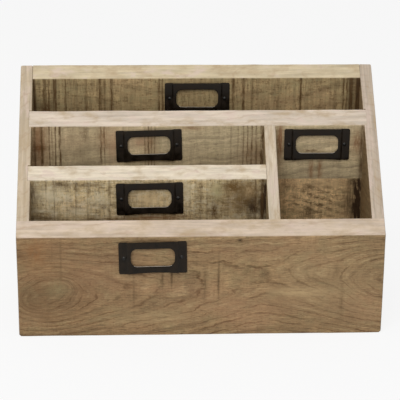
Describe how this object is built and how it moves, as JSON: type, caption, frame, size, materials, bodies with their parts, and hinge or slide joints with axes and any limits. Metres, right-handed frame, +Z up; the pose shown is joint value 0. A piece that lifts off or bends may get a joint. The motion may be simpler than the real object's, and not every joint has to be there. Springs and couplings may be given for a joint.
{
  "type": "mail organizer",
  "caption": "Sloping wooden desk organizer for mail, with stepped slots, a side bay and black metal label holders.",
  "frame": {"origin": "middle of the bounding box, on the surface that the organizer stands on", "axes": "+X to the right seen from the front, +Y towards the tall back panel, +Z up"},
  "size_m": [0.406, 0.1658, 0.268],
  "materials": {
    "front_wood": "sanded mango wood with a thin matt wax",
    "side_wood": "sanded mango wood with a thin matt wax",
    "back_wood": "rough-sawn mango wood with sanded edges",
    "divider_wood": "rough-sawn mango wood with sanded edges",
    "bottom_wood": "planed mango wood",
    "holder_metal": "black satin lacquer on pressed sheet steel",
    "pin_metal": "black satin lacquer",
    "brad_steel": "bright drawn wire"
  },
  "bodies": {
    "root": {"back_panel_brads": "brad_steel", "back_panel_lower_plank": "back_wood", "back_panel_upper_plank": "back_wood", "bottom_board": "bottom_wood", "bottom_brads": "brad_steel", "cross_divider": "divider_wood", "front_divider": "divider_wood", "front_divider_brads": "brad_steel", "front_label_holder": "holder_metal", "front_label_pins": "pin_metal", "front_panel": "front_wood", "front_panel_brads": "brad_steel", "front_slot_label_holder": "holder_metal", "front_slot_label_pins": "pin_metal", "left_side": "side_wood", "middle_slot_label_holder": "holder_metal", "middle_slot_label_pins": "pin_metal", "rear_divider_brads": "brad_steel", "rear_divider_lower_plank": "divider_wood", "rear_divider_upper_plank": "divider_wood", "rear_slot_label_holder": "holder_metal", "rear_slot_label_pins": "pin_metal", "right_side": "side_wood", "side_bay_label_holder": "holder_metal", "side_bay_label_pins": "pin_metal"}
  },
  "joints": []
}
